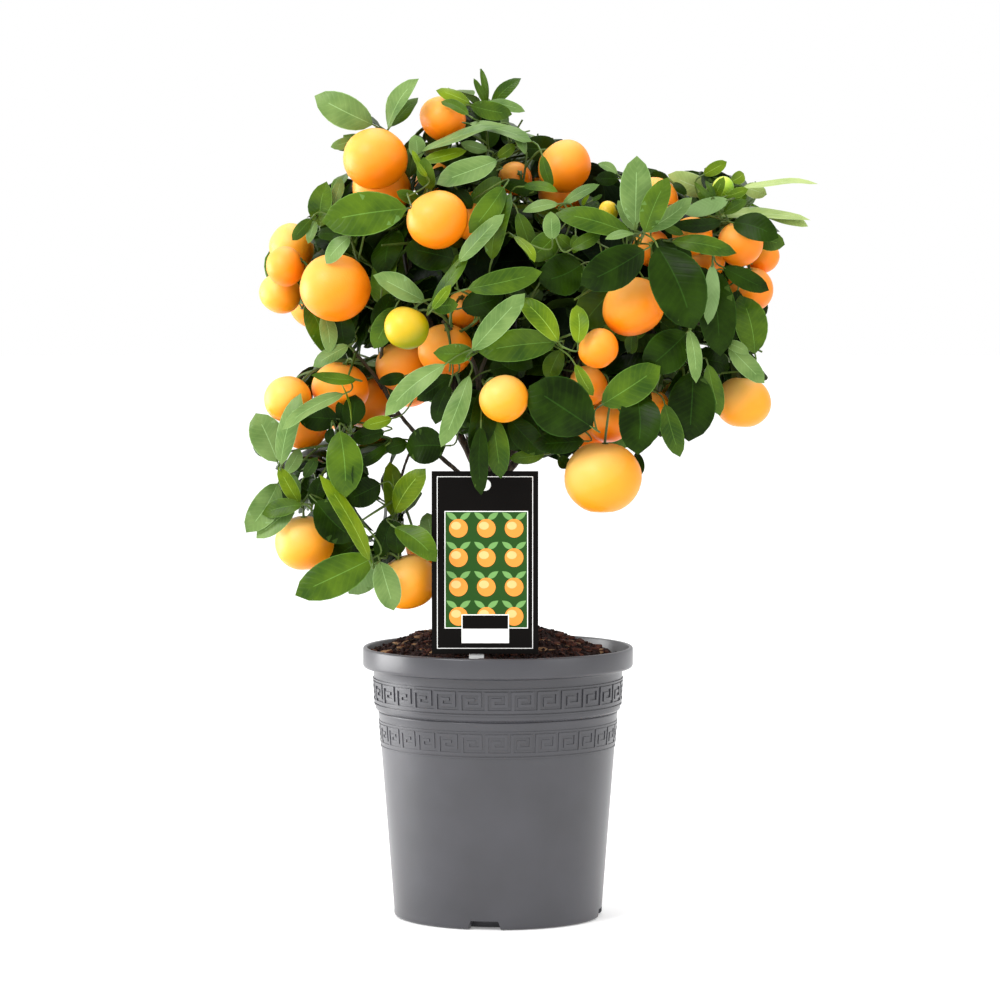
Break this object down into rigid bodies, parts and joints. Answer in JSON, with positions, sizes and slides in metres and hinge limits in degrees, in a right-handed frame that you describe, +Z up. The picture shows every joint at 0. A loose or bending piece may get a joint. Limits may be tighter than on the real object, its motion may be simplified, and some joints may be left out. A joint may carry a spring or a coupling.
{
  "type": "calamondin orange tree in a pot",
  "caption": "Small calamondin orange tree with round orange fruit and glossy oval leaves, rooted in a tapered nursery pot that stands on its flat underside, with a plain plant label.",
  "frame": {"origin": "centre of the flat disc of the pot's underside, on the surface that the pot stands on", "axes": "+Z up through the pot's middle, -Y towards the front with the plant label, +X to the right seen from the front"},
  "size_m": [0.395, 0.2878, 0.5941],
  "materials": {
    "pot_plastic": "satin",
    "potting_soil": "matte",
    "label_card": "satin",
    "stake_plastic": "satin",
    "bark": "matte",
    "foliage": "satin"
  },
  "bodies": {
    "root": {"pot": "pot_plastic", "soil": "potting_soil", "plant_label": "label_card", "label_stake": "stake_plastic", "trunk": "bark", "bough_left": "bark", "bough_low_left": "bark", "bough_drooping": "bark", "bough_upper_left": "bark", "bough_top": "bark", "bough_front": "bark", "bough_right": "bark", "bough_far_right": "bark", "bough_low_right": "bark", "bough_back_left": "bark", "bough_back": "bark", "bough_back_right": "bark", "foliage_top_left": "foliage", "foliage_upper_front": "foliage", "foliage_top": "foliage", "foliage_top_right": "foliage", "foliage_left": "foliage", "foliage_low_left": "foliage", "foliage_inner_left": "foliage", "foliage_hanging_left": "foliage", "foliage_hanging_low": "foliage", "foliage_low_front": "foliage", "foliage_front": "foliage", "foliage_low_centre": "foliage", "foliage_right_front": "foliage", "foliage_right_top": "foliage", "foliage_right": "foliage", "foliage_low_far_right": "foliage", "foliage_low_right": "foliage", "foliage_back_top": "foliage", "foliage_back_left": "foliage", "foliage_back_low_left": "foliage", "foliage_back": "foliage", "foliage_back_low": "foliage", "foliage_back_right": "foliage", "foliage_back_low_right": "foliage"}
  },
  "joints": []
}
